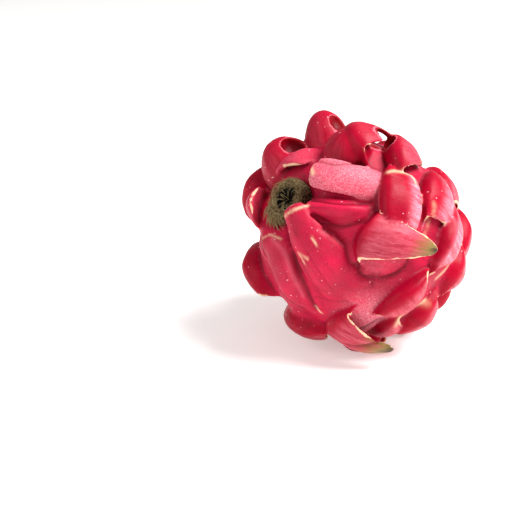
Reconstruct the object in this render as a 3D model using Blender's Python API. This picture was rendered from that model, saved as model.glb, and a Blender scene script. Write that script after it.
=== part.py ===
"""A whole red dragon fruit lying on its side, with its navel end lifted.

Metres, +Z up. The fruit rests on the plane z = 0, and the origin is in the middle of its box's bottom.
The fruit's own axis runs through its middle to the navel, which faces -X and up.
Every place on the fruit is given as degrees from the navel, degrees round the axis (0 on top, 90 at +Y,
180 underneath, 270 at -Y) and a height above the plain skin.
"""

import math
from collections import namedtuple

import bmesh
import bpy
import numpy as np
from mathutils import Matrix, Vector

MM = 0.001
GAP = 0.3 * MM

# Driving dimensions of the plain body under the scales.
HALF_LENGTH = 47.0 * MM
HALF_WIDTH = 44.0 * MM
MEAN_RADIUS = 45.0 * MM
AXIS_TILT = math.radians(33.0)
REST_DEPTH = 52.0 * MM

# The pit that holds the dried flower, and the dimple round the stem.
PIT_RADIUS = 11.5 * MM
PIT_DEPTH = 6.0 * MM
DIMPLE_RADIUS = 13.0 * MM
DIMPLE_DEPTH = 4.0 * MM

# The dried flower and the stem's stub, as (distance from the axis, height over the plain skin) in mm.
FLOWER_PROFILE = ((0, -12), (6.5, -11), (9.2, -7), (10.2, -2), (9.8, 2), (8.2, 3.5), (6.2, 2), (5.2, -2), (4, -5), (0, -6))
STUB_PROFILE = ((0, -8), (4, -8), (4, -5), (3.6, -2), (3.8, 1), (4.6, 3), (4.4, 4.2), (3, 4.4), (0, 4.4))
FLOWER_RIPPLE = 0.06

# A scale's free edge, in mm, and how deep its root sits in the body.
RIM_THICK = 1.8
ROOT_DEPTH = 9

# How high the skin swells under a scale, in mm, and how sharply neighbouring swellings meet.
PLATE_SWELLING = 4.0
HOOD_SWELLING = 6.0
SHARPNESS = 8

# Facets: rows go from pole to pole, columns go round, and a scale's rows are closer towards its tip.
BODY_COLUMNS = 38
BODY_ROWS = 26
SCALE_COLUMNS = 8
SCALE_ROWS = 11
HOLLOW_COLUMNS = 10
HOLLOW_ROWS = 8
TURNED_COLUMNS = 24
TURNED_ROWS = 14
TIP_CROWDING = 0.8

SKIN_RED = (0.63, 0.03, 0.09, 1.0)
FLOWER_BROWN = (0.13, 0.10, 0.04, 1.0)
STUB_GREEN = (0.28, 0.25, 0.10, 1.0)

# A scale: where its front stands (degrees from the navel, degrees round), how far it is turned from pointing at
# the navel, its half-width near the front and at the root, how high it stands, how far its tip reaches back, the
# tip's height, the length of its foot, how far its root bends sideways, how far one side stands ahead of the
# other, how far its ends are swept back, how much its edges droop, and how square its end is.
Scale = namedtuple("Scale", "kind polar azimuth turn width base rise reach tip foot bend skew bow droop square")


def plate(polar, azimuth, turn=0, width=8, base=14, rise=6, length=38, bend=0, droop=0.25):
    """A flat scale that lies on the skin, with its blunt end towards the navel."""
    return Scale("plate", polar, azimuth, turn, width, base, rise, length, 0, length, bend, 0, 0, droop, 0)


def hood(polar, azimuth, turn=0, width=13, rise=12, reach=20, tip=8, foot=15, skew=0, bow=0.3, droop=0.22,
         square=0):
    """A scale that stands up and is rolled back from the navel."""
    return Scale("hood", polar, azimuth, turn, width, 1.6 * width, rise, reach, tip, foot, 0, skew, bow, droop, square)


def knob(polar, azimuth, turn=0, width=12, rise=16, reach=12):
    """A scale curled up into a round pouch."""
    return Scale("knob", polar, azimuth, turn, width, width, rise, reach, 0, 0, 0, 0, 0, 0, 0)


SCALES = (
    plate(12.5, 258, -24, width=6.6, base=19, rise=10, length=48, bend=9, droop=0.15),
    plate(21, 184, 24, width=7, base=14, rise=7, length=44, bend=14),
    plate(20, 326, -31, width=8.6, base=9.5, rise=10, length=40, bend=-8, droop=0.1),
    plate(18, 273, 17, width=5.5, base=7, rise=7, length=30, bend=-4, droop=0.5),
    plate(19, 112, 0, width=8, base=12, rise=11, length=20),
    plate(19, 40, -10, width=10, base=16, rise=7, length=20),
    knob(37, 59, -20, width=13, rise=17, reach=13),
    knob(52, 28, -10, width=10.5, rise=19, reach=10.5),
    knob(43, 350, -14, width=12, rise=14, reach=11),
    hood(44, 348, -14, width=12, rise=15, reach=24, tip=10),
    hood(42, 93, -10, width=14, rise=14, reach=22, tip=8),
    hood(50, 271, 15, width=12, rise=9, reach=40, tip=10, foot=16, skew=0.25, droop=0.15),
    hood(62, 333, -10, width=13, rise=13, reach=18, tip=7, bow=0.2),
    hood(55, 299, 5, width=16, rise=10, reach=20, tip=6, bow=0.12, square=1),
    hood(81, 314, -15, width=15, rise=9, reach=22, tip=6, bow=0.2, square=0.6),
    hood(98, 294, -10, width=19, rise=9, reach=18, tip=5, bow=0.2),
    hood(122, 280, 0, width=13, rise=8, reach=20, tip=6),
    hood(87, 253, -15, width=15, rise=9, reach=16, tip=4, bow=0.15),
    hood(112, 242, 0, width=14, rise=9, reach=20, tip=6),
    hood(78, 210, 32, width=13, rise=9, reach=34, tip=16, droop=0.15),
    hood(79, 180, 0, width=19, rise=10, reach=20, tip=6),
    hood(105, 202, 0, width=13, rise=10, reach=22, tip=6),
    hood(100, 226, 0, width=10, rise=6, reach=14, tip=4),
    hood(60, 140, 0, width=16, rise=13, reach=28, tip=9),
    hood(87, 10, 0, width=14, rise=5, reach=26, tip=5),
    hood(74, 50, 0, width=17, rise=12, reach=30, tip=9),
    hood(78, 92, 0, width=17, rise=12, reach=30, tip=9),
    hood(96, 128, 0, width=17, rise=12, reach=30, tip=8),
    hood(106, 160, 0, width=15, rise=9, reach=24, tip=6),
    hood(106, 338, 0, width=15, rise=7, reach=26, tip=6),
    hood(102, 30, 0, width=17, rise=12, reach=30, tip=8),
    hood(106, 72, 0, width=17, rise=12, reach=30, tip=8),
    hood(122, 106, 0, width=16, rise=10, reach=28, tip=7),
    hood(128, 150, 0, width=15, rise=9.5, reach=24, tip=5),
    hood(140, 198, 0, width=14, rise=10, reach=22, tip=5),
    hood(128, 314, 0, width=15, rise=9, reach=25, tip=7),
    hood(129, 354, 0, width=15, rise=9, reach=26, tip=7),
    hood(130, 50, 0, width=16, rise=9, reach=26, tip=7),
    hood(146, 250, 0, width=14, rise=8, reach=20, tip=5),
    hood(148, 92, 0, width=14, rise=8, reach=20, tip=6),
    hood(150, 10, 0, width=13, rise=7, reach=18, tip=5),
)

# Swellings of the skin between the scales: degrees from the navel, degrees round, radius and height in mm.
SWELLINGS = (
    (69, 260, 12, 9),
    (87, 229, 11, 7),
)

# Hollows in the curled scales, from one end to the other as (degrees from the navel, degrees round, height in
# mm), and a half-width in mm.
HOLLOWS = (
    ((35, 47, 13), (38, 34, 5), 5.5),
    ((53, 18, 16), (58, 11, 8), 4.5),
    ((52, 346, 11), (65, 336, 11), 4.5),
)

NAVEL_WAY = np.array([-math.cos(AXIS_TILT), 0.0, math.sin(AXIS_TILT)])
TOP_WAY = np.array([math.sin(AXIS_TILT), 0.0, math.cos(AXIS_TILT)])
SIDE_WAY = np.array([0.0, 1.0, 0.0])


def unit(v):
    return v / np.linalg.norm(v, axis=-1, keepdims=True)


def way(polar, azimuth):
    """The direction from the fruit's middle to a place on it, in degrees."""
    a, b = np.radians(polar), np.radians(azimuth)
    return np.cos(a) * NAVEL_WAY + np.sin(a) * (np.cos(b) * TOP_WAY + np.sin(b) * SIDE_WAY)


def plain_radius(ways):
    """How far the plain ellipsoid's skin lies from the middle, for an array of directions."""
    along = ways @ NAVEL_WAY
    across = np.sqrt(np.maximum(0.0, 1.0 - along**2))
    return 1.0 / np.sqrt((along / HALF_LENGTH) ** 2 + (across / HALF_WIDTH) ** 2)


def place_of(polar, azimuth, height):
    out = way(polar, azimuth)
    return out * (plain_radius(out[None])[0] + height * MM)


def axes_of(scale):
    """The scale's own directions: out of the skin, forwards to the navel, and sideways."""
    out = way(scale.polar, scale.azimuth)
    to_navel = unit(NAVEL_WAY - (NAVEL_WAY @ out) * out)
    side = np.cross(out, to_navel)
    t = math.radians(scale.turn)
    forward = math.cos(t) * to_navel + math.sin(t) * side
    return out, forward, np.cross(out, forward)


def on_skin(scale, x, y, height):
    """Points at x forwards and y sideways along the skin from the scale's front, and at a height over it."""
    out, forward, side = axes_of(scale)
    r = np.hypot(x, y) + 1e-9
    angle = r / (MEAN_RADIUS + np.maximum(height, 0))
    flat = (x / r)[..., None] * forward + (y / r)[..., None] * side
    ways = np.cos(angle)[..., None] * out + np.sin(angle)[..., None] * flat
    return ways * (plain_radius(ways) + height)[..., None]


def curve_through(points, t):
    """A smooth curve through the points, with t from 0 at the first to 1 at the last."""
    p = np.array(points, float)
    p = np.vstack([2 * p[0] - p[1], p, 2 * p[-1] - p[-2]])
    s = np.clip(t, 0, 1) * (len(p) - 3)
    i = np.minimum(s.astype(int), len(p) - 4)
    f = (s - i)[..., None]
    a, b, c, d = p[i], p[i + 1], p[i + 2], p[i + 3]
    return 0.5 * (2 * b + (c - a) * f + (2 * a - 5 * b + 4 * c - d) * f**2 + (3 * b - a - 3 * c + d) * f**3)


def slope_along(points, t):
    return unit(curve_through(points, t + 0.01) - curve_through(points, t - 0.01))


def spine_of(scale):
    """The scale's middle line from its root to its tip, as (forwards, height) in mm."""
    rise, foot, reach = scale.rise, scale.foot, scale.reach
    if scale.kind == "plate":
        return (
            (-foot - 8, -ROOT_DEPTH),
            (-foot, -4),
            (-0.7 * foot, 0.30 * rise),
            (-0.4 * foot, 0.72 * rise),
            (-0.15 * foot, 0.95 * rise),
            (0, rise),
        )
    return (
        (-foot - 6, -ROOT_DEPTH),
        (-foot, -4),
        (-0.45 * foot, 0.10 * rise),
        (-0.06 * foot, 0.42 * rise),
        (-0.02 * foot, 0.78 * rise),
        (-0.32 * rise, rise),
        (-0.5 * (reach + 0.3 * rise), 0.45 * rise + 0.5 * scale.tip + 2),
        (-reach, scale.tip),
    )


def plate_form(scale, along):
    """A flat scale's half-width, thickness, droop and the share of the droop that is swept back."""
    middle = 0.5 * (scale.base + scale.width)
    widths = (scale.base, 0.97 * scale.base, middle, scale.width, 0.94 * scale.width, 0.75 * scale.width, 0)
    width = np.interp(along, (0, 0.25, 0.5, 0.8, 0.93, 0.985, 1), widths)
    thick = np.interp(along, (0, 0.5, 0.8, 1), (9, 7, 4, 2.4))
    droop = scale.droop * np.interp(along, (0, 0.5, 1), (2.2, 1.8, 1))
    return width, thick, droop, np.zeros_like(along)


def hood_form(scale, along):
    """A rolled scale's half-width, thickness, droop and the share of the droop that is swept back."""
    steps = (0, 0.25, 0.42, 0.6, 0.75, 0.9, 0.97, 1)
    pointed = np.interp(along, steps, (1.6, 1.6, 1.25, 1.05, 0.9, 0.55, 0.25, 0))
    blunt = np.interp(along, steps, (1.6, 1.6, 1.3, 1.1, 1.05, 0.95, 0.75, 0))
    width = scale.width * (pointed + scale.square * (blunt - pointed))
    thick = np.interp(along, (0, 0.3, 0.55, 0.8, 1), (10, 8, 4.5, 3.0, 1.8))
    droops = (0.5, 0.5, scale.bow + 0.1, scale.bow, scale.droop, 0.5 * scale.droop)
    droop = np.interp(along, (0, 0.3, 0.5, 0.62, 0.75, 1), droops)
    back = np.interp(along, (0, 0.3, 0.45, 0.6, 0.7, 0.8, 1), (0, 0.3, 0.9, 1.0, 0.75, 0.3, 0.1))
    return width, thick, droop, back


def rolled_point(scale, along, across, side):
    """Points of a plate or a hood. along is 0 at the root and 1 at the tip, across is -1 to 1, and side is -1 to
    1 through the thickness, with 1 on the face that looks at the navel."""
    form = plate_form if scale.kind == "plate" else hood_form
    width, thick, droop, back = form(scale, along)
    middle = curve_through(spine_of(scale), along)
    slope = slope_along(spine_of(scale), along)
    rim = RIM_THICK + (thick - RIM_THICK) * (1 - np.abs(across) ** 2.5)
    depth = np.sign(side) * np.abs(side) ** 0.5 * 0.5 * rim
    fall = droop * width * across**2
    x = middle[..., 0] + slope[..., 1] * depth - fall * back + scale.skew * width * across
    y = width * across + scale.bend * (middle[..., 0] / max(scale.foot, 1)) ** 2
    height = middle[..., 1] - slope[..., 0] * depth - fall * np.sqrt(1 - back**2)
    return on_skin(scale, x * MM, y * MM, height * MM)


def pouch_point(scale, ball):
    """Points of a knob: a ball that stands on a wider foot and leans away from the navel."""
    lift = 0.5 * (1 + ball[:, 2])
    spread = 1 + 0.25 * (1 - lift) ** 2
    x = scale.reach * ball[:, 1] * spread - 0.15 * scale.rise * lift
    y = scale.width * ball[:, 0] * spread
    height = (scale.rise + ROOT_DEPTH) * lift - ROOT_DEPTH
    return on_skin(scale, x * MM, y * MM, height * MM)


def pillows(ways):
    """How far the skin swells under each scale. Neighbouring swellings meet in creases."""
    spots = [(way(polar, azimuth), SIDE_WAY, across, across, height) for polar, azimuth, across, height in SWELLINGS]
    for scale in SCALES:
        out, forward, side = axes_of(scale)
        behind = 0.6 * scale.foot * MM / MEAN_RADIUS
        middle = math.cos(behind) * out - math.sin(behind) * forward
        height = PLATE_SWELLING if scale.kind == "plate" else HOOD_SWELLING
        spots.append((middle, side, 0.8 * scale.foot + 2, 1.2 * scale.width, height))
    total = np.zeros(len(ways))
    for middle, side, length, breadth, height in spots:
        x = MEAN_RADIUS * (ways @ unit(np.cross(side, middle)))
        y = MEAN_RADIUS * (ways @ side)
        near = np.where(ways @ middle > 0, height, 0.0)
        swell = near * np.exp(-((x / (length * MM)) ** 2) - (y / (breadth * MM)) ** 2)
        total = total + swell**SHARPNESS
    return total ** (1 / SHARPNESS) * MM


def body_radius(ways):
    """The skin's distance from the middle, with its swellings, the navel's pit and the stem's dimple."""
    radius = plain_radius(ways) + pillows(ways)
    for pole, reach, depth in (
        (NAVEL_WAY, PIT_RADIUS, PIT_DEPTH),
        (-NAVEL_WAY, DIMPLE_RADIUS, DIMPLE_DEPTH),
    ):
        away = MEAN_RADIUS * np.arccos(np.clip(ways @ pole, -1, 1))
        radius = radius - depth / (1 + (away / reach) ** 6)
    return radius


def ball_of(columns, rows):
    """A bmesh unit ball whose pole is +Z, and its points."""
    bm = bmesh.new()
    bmesh.ops.create_uvsphere(bm, u_segments=columns, v_segments=rows, radius=1)
    return bm, np.array([v.co for v in bm.verts])


def finish_object(bm, points, name, colour, collection, roughness=0.45):
    """Moves the ball's vertices to the points, with the faces outwards, and makes the object."""
    for v, p in zip(bm.verts, points):
        v.co = Vector(p)
    if bm.calc_volume(signed=True) < 0:
        bmesh.ops.reverse_faces(bm, faces=bm.faces)
    mesh = bpy.data.meshes.new(name)
    bm.to_mesh(mesh)
    bm.free()
    material = bpy.data.materials.get(name) or bpy.data.materials.new(name)
    material.use_nodes = True
    shader = material.node_tree.nodes["Principled BSDF"]
    shader.inputs["Base Color"].default_value = colour
    shader.inputs["Roughness"].default_value = roughness
    mesh.materials.append(material)
    obj = bpy.data.objects.new(name, mesh)
    collection.objects.link(obj)
    return obj


def make_body(collection):
    bm, ball = ball_of(BODY_COLUMNS, BODY_ROWS)
    ways = unit(ball[:, 2:3] * NAVEL_WAY + ball[:, 0:1] * TOP_WAY + ball[:, 1:2] * SIDE_WAY)
    return finish_object(bm, ways * body_radius(ways)[:, None], "fruit", SKIN_RED, collection)


def make_scale(scale, index, collection):
    """A plate or a hood is a ball drawn out along its spine: the poles are its root and tip."""
    bm, ball = ball_of(SCALE_COLUMNS, SCALE_ROWS)
    if scale.kind == "knob":
        points = pouch_point(scale, ball)
    else:
        along = (1 - np.arccos(np.clip(ball[:, 2], -1, 1)) / math.pi) ** TIP_CROWDING
        ring = np.hypot(ball[:, 0], ball[:, 1]) + 1e-9
        across = np.where(ring < 1e-5, 0, ball[:, 0] / ring)
        side = np.where(ring < 1e-5, 0, ball[:, 1] / ring)
        points = rolled_point(scale, along, across, side)
    return finish_object(bm, points, f"scale_{index}", SKIN_RED, collection)


def make_hollow(ends, half_width, index, collection):
    """An egg-shaped cutter that reaches from one end to the other."""
    bm, ball = ball_of(HOLLOW_COLUMNS, HOLLOW_ROWS)
    first, last = (place_of(*end) for end in ends)
    middle, half = (first + last) / 2, (last - first) / 2
    along = unit(half)
    out = unit(middle - (middle @ along) * along)
    across = np.cross(along, out)
    wide = half_width * MM
    points = middle + ball[:, 2:3] * half + wide * (ball[:, 0:1] * out + ball[:, 1:2] * across)
    return finish_object(bm, points, f"hollow_cutter_{index}", SKIN_RED, collection)


def make_turned(name, profile, pole, ripple, colour, collection, extra=0.0):
    """A round body turned about the fruit's axis at one of its ends, and grown by extra."""
    bm, ball = ball_of(TURNED_COLUMNS, TURNED_ROWS)
    along = 1 - np.arccos(np.clip(ball[:, 2], -1, 1)) / math.pi
    angle = np.arctan2(ball[:, 1], ball[:, 0])
    ring = np.clip(np.hypot(ball[:, 0], ball[:, 1]) * 20, 0, 1)
    middle = curve_through(profile, along)
    slope = slope_along(profile, along)
    wave = 1 + ripple * (np.sin(3 * angle + 1) + 0.6 * np.sin(7 * angle))
    r = ring * (np.maximum(middle[:, 0], 0) * wave * MM + slope[:, 1] * extra)
    height = HALF_LENGTH + middle[:, 1] * MM - slope[:, 0] * extra
    flat = np.cos(angle)[:, None] * TOP_WAY + np.sin(angle)[:, None] * SIDE_WAY
    return finish_object(bm, r[:, None] * flat + height[:, None] * pole, name, colour, collection, roughness=0.9)


def apply_modifier(obj, modifier):
    bpy.context.view_layer.objects.active = obj
    bpy.ops.object.modifier_apply(modifier=modifier.name)


def cut(target, tool):
    modifier = target.modifiers.new("cut", "BOOLEAN")
    modifier.operation = "DIFFERENCE"
    modifier.object = tool
    modifier.solver = "MANIFOLD"
    apply_modifier(target, modifier)


def join_scales(body, collection):
    """Fuses the scales to the body, so that the fruit is one solid."""
    modifier = body.modifiers.new("join", "BOOLEAN")
    modifier.operation = "UNION"
    modifier.operand_type = "COLLECTION"
    modifier.collection = collection
    modifier.solver = "MANIFOLD"
    apply_modifier(body, modifier)
    for obj in list(collection.objects):
        bpy.data.objects.remove(obj)


def keep_outer_skin(obj):
    """Fills the pockets shut in between scales, and drops any crumb that a cut leaves."""
    bm = bmesh.new()
    bm.from_mesh(obj.data)
    left = set(bm.faces)
    skins = []
    while left:
        skin = [left.pop()]
        for face in skin:
            near = {other for edge in face.edges for other in edge.link_faces} & left
            left -= near
            skin.extend(near)
        skins.append(skin)
    outer = max(skins, key=len)
    inner = [face for skin in skins if skin is not outer for face in skin]
    bmesh.ops.delete(bm, geom=inner, context="FACES")
    bm.to_mesh(obj.data)
    bm.free()


def make_floor_cutter(collection):
    """A box whose top is the plane that the fruit rests on."""
    bm = bmesh.new()
    size = 4 * HALF_LENGTH
    bmesh.ops.create_cube(bm, size=size)
    corners = np.array([v.co for v in bm.verts]) - (0, 0, REST_DEPTH + size / 2)
    return finish_object(bm, corners, "floor_cutter", SKIN_RED, collection)


def new_collection(name):
    collection = bpy.data.collections.new(name)
    bpy.context.scene.collection.children.link(collection)
    return collection


def main():
    for obj in list(bpy.data.objects):
        bpy.data.objects.remove(obj)
    parts = new_collection("red_dragon_fruit")
    scales = new_collection("scales")
    cutters = new_collection("cutters")
    fruit = make_body(parts)
    for index, scale in enumerate(SCALES):
        make_scale(scale, index, scales)
    join_scales(fruit, scales)
    flower = make_turned("dried_flower", FLOWER_PROFILE, NAVEL_WAY, FLOWER_RIPPLE, FLOWER_BROWN, parts)
    stub = make_turned("stem_stub", STUB_PROFILE, -NAVEL_WAY, 0, STUB_GREEN, parts)
    tools = [
        make_turned("flower_cutter", FLOWER_PROFILE, NAVEL_WAY, FLOWER_RIPPLE, FLOWER_BROWN, cutters, GAP),
        make_turned("stub_cutter", STUB_PROFILE, -NAVEL_WAY, 0, STUB_GREEN, cutters, GAP),
        make_floor_cutter(cutters),
    ]
    for index, (first, last, half_width) in enumerate(HOLLOWS):
        tools.append(make_hollow((first, last), half_width, index, cutters))
    for tool in tools:
        cut(fruit, tool)
        tool.hide_render = True
        tool.display_type = "WIRE"
    keep_outer_skin(fruit)
    corners = np.array([v.co for v in fruit.data.vertices])
    middle = (corners.min(axis=0) + corners.max(axis=0)) / 2
    place = Matrix.Translation((-middle[0], -middle[1], REST_DEPTH))
    for obj in (fruit, flower, stub):
        obj.data.transform(place)


if __name__ == "__main__":
    main()
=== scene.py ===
"""A whole red dragon fruit.

It has waxy skin with rolled-back scales, a withered flower in the navel and a stem stub.
"""

import math
from collections import namedtuple

import bmesh
import bpy
import numpy as np
from bpy.props import FloatProperty, FloatVectorProperty, IntProperty, PointerProperty
from bpy.types import Operator, Panel, PropertyGroup
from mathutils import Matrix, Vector, noise
from mathutils.kdtree import KDTree


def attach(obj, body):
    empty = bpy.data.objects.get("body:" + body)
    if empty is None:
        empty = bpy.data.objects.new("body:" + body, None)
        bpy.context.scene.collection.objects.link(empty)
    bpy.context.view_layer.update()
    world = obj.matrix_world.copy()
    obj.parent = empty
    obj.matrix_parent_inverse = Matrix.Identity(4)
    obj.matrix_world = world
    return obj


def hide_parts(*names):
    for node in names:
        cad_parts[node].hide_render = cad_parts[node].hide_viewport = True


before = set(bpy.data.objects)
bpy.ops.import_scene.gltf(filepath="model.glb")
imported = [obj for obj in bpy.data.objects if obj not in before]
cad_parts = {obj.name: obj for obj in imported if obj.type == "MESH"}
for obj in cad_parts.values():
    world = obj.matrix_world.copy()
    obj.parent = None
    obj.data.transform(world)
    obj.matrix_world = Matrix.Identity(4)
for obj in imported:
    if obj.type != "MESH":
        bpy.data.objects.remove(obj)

bl_info = {
    "name": "Red Dragon Fruit",
    "version": (1, 0, 0),
    "blender": (4, 5, 0),
    "location": "View3D > Sidebar > Fruit",
    "description": "Builds a whole red dragon fruit on a pale floor",
    "category": "Add Mesh",
}

bpy.ops.object.select_all(action="DESELECT")

MM = 0.001
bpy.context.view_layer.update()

# The middle of the plain body, and the shape that the solid has too.
MIDDLE = np.array([-1.03, -1.64, 52.0]) * MM
HALF_LENGTH = 47.0 * MM
HALF_WIDTH = 44.0 * MM
MEAN_RADIUS = 45.0 * MM
AXIS_TILT = math.radians(33.0)
PIT_RADIUS = 11.5 * MM
PIT_DEPTH = 6.0 * MM
DIMPLE_RADIUS = 13.0 * MM
DIMPLE_DEPTH = 4.0 * MM
RIM_THICK = 1.8
ROOT_DEPTH = 9

# How sharply neighbouring swellings meet.
SHARPNESS = 8

# The withered flower and the stem's stub, as (distance from the axis, height over the plain skin) in mm.
FLOWER_PROFILE = (
    (0, -12),
    (6.5, -11),
    (9.2, -7),
    (10.2, -2),
    (9.8, 2),
    (8.2, 3.5),
    (6.2, 2),
    (5.2, -2),
    (4, -5),
    (0, -6),
)
STUB_PROFILE = ((0, -8), (4, -8), (4, -5), (3.6, -2), (3.8, 1), (4.6, 3), (4.4, 4.2), (3, 4.4), (0, 4.4))

# polar and azimuth are a scale's place in degrees, from the navel and round it, and turn is how far its tip
# points aside. The sizes are in mm. square makes its end blunt, bloom is how much whitish haze it has, green
# is how far down from its tip it is green, in mm, and dry is how wide its dry rim is.
Scale = namedtuple(
    "Scale",
    "kind polar azimuth turn width base rise reach tip foot bend skew bow droop square bloom green dry",
    defaults=(0, 0, 0, 0, 0, 0, 0, 0, 0, 1),
)


def plate(polar, azimuth, turn=0, width=8, base=14, rise=6, length=38, bend=0, droop=0.25, bloom=0.2):
    """A flat scale that lies on the skin, with its blunt end towards the navel."""
    sizes = (width, base, rise, length)
    return Scale("plate", polar, azimuth, turn, *sizes, foot=length, bend=bend, droop=droop, bloom=bloom)


def hood(
    polar, azimuth, turn=0, width=13, rise=12, reach=20, tip=8, foot=15, skew=0, bow=0.3, droop=0.22,
    square=0, bloom=0.3, green=6, dry=1,
):
    """A scale that stands up and is rolled back from the navel."""
    sizes = (width, 1.6 * width, rise, reach, tip, foot)
    return Scale("hood", polar, azimuth, turn, *sizes, 0, skew, bow, droop, square, bloom, green, dry)


def knob(polar, azimuth, turn=0, width=12, rise=16, reach=12):
    """A scale curled up into a round pouch."""
    return Scale("knob", polar, azimuth, turn, width, width, rise, reach, bloom=0.2)


SCALES = (
    plate(12.5, 258, -24, width=6.6, base=19, rise=10, length=48, bend=9, droop=0.15, bloom=0.06),
    plate(21, 184, 24, width=7, base=14, rise=7, length=44, bend=14, bloom=0.1),
    plate(20, 326, -31, width=8.6, base=9.5, rise=10, length=40, bend=-8, droop=0.1, bloom=0.8),
    plate(18, 273, 17, width=5.5, base=7, rise=7, length=30, bend=-4, droop=0.5, bloom=0.05),
    plate(19, 112, 0, width=8, base=12, rise=11, length=20),
    plate(19, 40, -10, width=10, base=16, rise=7, length=20),
    knob(37, 59, -20, width=13, rise=17, reach=13),
    knob(52, 28, -10, width=10.5, rise=19, reach=10.5),
    knob(43, 350, -14, width=12, rise=14, reach=11),
    hood(44, 348, -14, width=12, rise=15, reach=24, tip=10, bloom=0.1, dry=0.3),
    hood(42, 93, -10, width=14, rise=14, reach=22, tip=8),
    hood(
        50, 271, 15, width=12, rise=9, reach=40, tip=10, foot=16, skew=0.25, droop=0.15, bloom=0.35, green=19
    ),
    hood(62, 333, -10, width=13, rise=13, reach=18, tip=7, bow=0.2, dry=0.3),
    hood(55, 299, 5, width=16, rise=10, reach=20, tip=6, bow=0.12, square=1, bloom=1.0, green=2),
    hood(81, 314, -15, width=15, rise=9, reach=22, tip=6, bow=0.2, square=0.6, bloom=0.9, green=2),
    hood(98, 294, -10, width=19, rise=9, reach=18, tip=5, bow=0.2, bloom=0.9, green=2),
    hood(122, 280, 0, width=13, rise=8, reach=20, tip=6),
    hood(87, 253, -15, width=15, rise=9, reach=16, tip=4, bow=0.15),
    hood(112, 242, 0, width=14, rise=9, reach=20, tip=6),
    hood(78, 210, 32, width=13, rise=9, reach=34, tip=16, droop=0.15, green=24),
    hood(79, 180, 0, width=19, rise=10, reach=20, tip=6, bloom=0.1),
    hood(105, 202, 0, width=13, rise=10, reach=22, tip=6),
    hood(100, 226, 0, width=10, rise=6, reach=14, tip=4),
    hood(60, 140, 0, width=16, rise=13, reach=28, tip=9, green=13),
    hood(87, 10, 0, width=14, rise=5, reach=26, tip=5, green=12),
    hood(74, 50, 0, width=17, rise=12, reach=30, tip=9, green=14),
    hood(78, 92, 0, width=17, rise=12, reach=30, tip=9, green=12),
    hood(96, 128, 0, width=17, rise=12, reach=30, tip=8, green=14),
    hood(106, 160, 0, width=15, rise=9, reach=24, tip=6, green=10),
    hood(106, 338, 0, width=15, rise=7, reach=26, tip=6, green=12),
    hood(102, 30, 0, width=17, rise=12, reach=30, tip=8, green=15),
    hood(106, 72, 0, width=17, rise=12, reach=30, tip=8, green=12),
    hood(122, 106, 0, width=16, rise=10, reach=28, tip=7, green=13),
    hood(128, 150, 0, width=15, rise=9.5, reach=24, tip=5, green=10),
    hood(140, 198, 0, width=14, rise=10, reach=22, tip=5, green=10),
    hood(128, 314, 0, width=15, rise=9, reach=25, tip=7, green=12),
    hood(129, 354, 0, width=15, rise=9, reach=26, tip=7, green=13),
    hood(130, 50, 0, width=16, rise=9, reach=26, tip=7, green=11),
    hood(146, 250, 0, width=14, rise=8, reach=20, tip=5, green=10),
    hood(148, 92, 0, width=14, rise=8, reach=20, tip=6, green=10),
    hood(150, 10, 0, width=13, rise=7, reach=18, tip=5, green=9),
)

# Swellings of the skin between the scales: degrees from the navel, degrees round, radius and height in mm,
# and how far the pale bloom covers them.
SWELLINGS = (
    (69, 260, 12, 9, 0.25),
    (87, 229, 11, 7, 1.4),
)

# Hollows in the curled scales, from one end to the other as (degrees from the navel, degrees round, height in
# mm), and a half-width in mm.
HOLLOWS = (
    ((35, 47, 13), (38, 34, 5), 5.5),
    ((53, 18, 16), (58, 11, 8), 4.5),
    ((52, 346, 11), (65, 336, 11), 4.5),
)

# Creases in the skin: depth and half-width in mm, and their course as (degrees from the navel, degrees
# round). A raised line has a negative depth.
# Each crease also gets painted shade, and each raised line is painted paler, partly as bloom and partly as a
# painted highlight.
CREASES = (
    (1.8, 1.5, ((13, 222), (24, 217), (40, 210), (54, 208), (66, 206))),
    (1.2, 1.2, ((19, 285), (30, 287), (40, 291), (50, 296))),
    (0.9, 1.1, ((24, 267), (36, 268), (48, 280), (51, 290))),
    (1.3, 1.3, ((56, 252), (64, 248), (75, 254), (82, 264), (83, 271))),
    (0.9, 1.2, ((32, 260), (44, 258), (54, 250), (66, 252), (74, 246))),
    (0.5, 0.7, ((34, 236), (46, 232), (58, 228))),
    (0.4, 0.8, ((35, 224), (49, 218), (66, 212))),
    (0.9, 1.2, ((22, 346), (32, 323), (45, 328))),
    (1.0, 1.3, ((24, 168), (40, 185), (60, 191), (74, 199))),
    (1.0, 1.2, ((88, 213), (92, 224), (97, 236))),
    (-0.5, 0.9, ((21, 194), (29, 206), (42, 205), (56, 204))),
    (-0.5, 1.0, ((92, 324), (96, 310), (100, 296), (98, 276))),
)

# Healed scratches and dry cream stripes: half-width in mm, how pale they are, and the places that each one
# joins.
SCARS = (
    (0.4, 0.6, ((32, 227), (38, 226))),
    (0.4, 0.6, ((34, 229), (37, 232))),
    (0.35, 0.8, ((31, 248), (35, 246))),
    (0.35, 0.8, ((66, 206), (71, 207))),
    (0.3, 0.8, ((70, 236), (72, 237))),
    (0.45, 0.8, ((14, 235), (16, 256), (20, 274))),
    (0.35, 0.6, ((23, 176), (20, 189), (22, 205))),
    (0.7, 0.8, ((24, 348), (21, 330), (21, 317))),
    (0.7, 0.7, ((56, 314), (64, 316), (70, 317), (72, 311))),
    (0.8, 0.35, ((82, 303), (86, 294), (86, 283))),
    (1.0, 0.7, ((110, 269), (114, 278), (118, 286))),
    (1.1, 0.7, ((104, 234), (104, 245), (111, 254))),
)

NAVEL_WAY = np.array([-math.cos(AXIS_TILT), 0.0, math.sin(AXIS_TILT)])
TOP_WAY = np.array([math.sin(AXIS_TILT), 0.0, math.cos(AXIS_TILT)])
SIDE_WAY = np.array([0.0, 1.0, 0.0])

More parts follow.
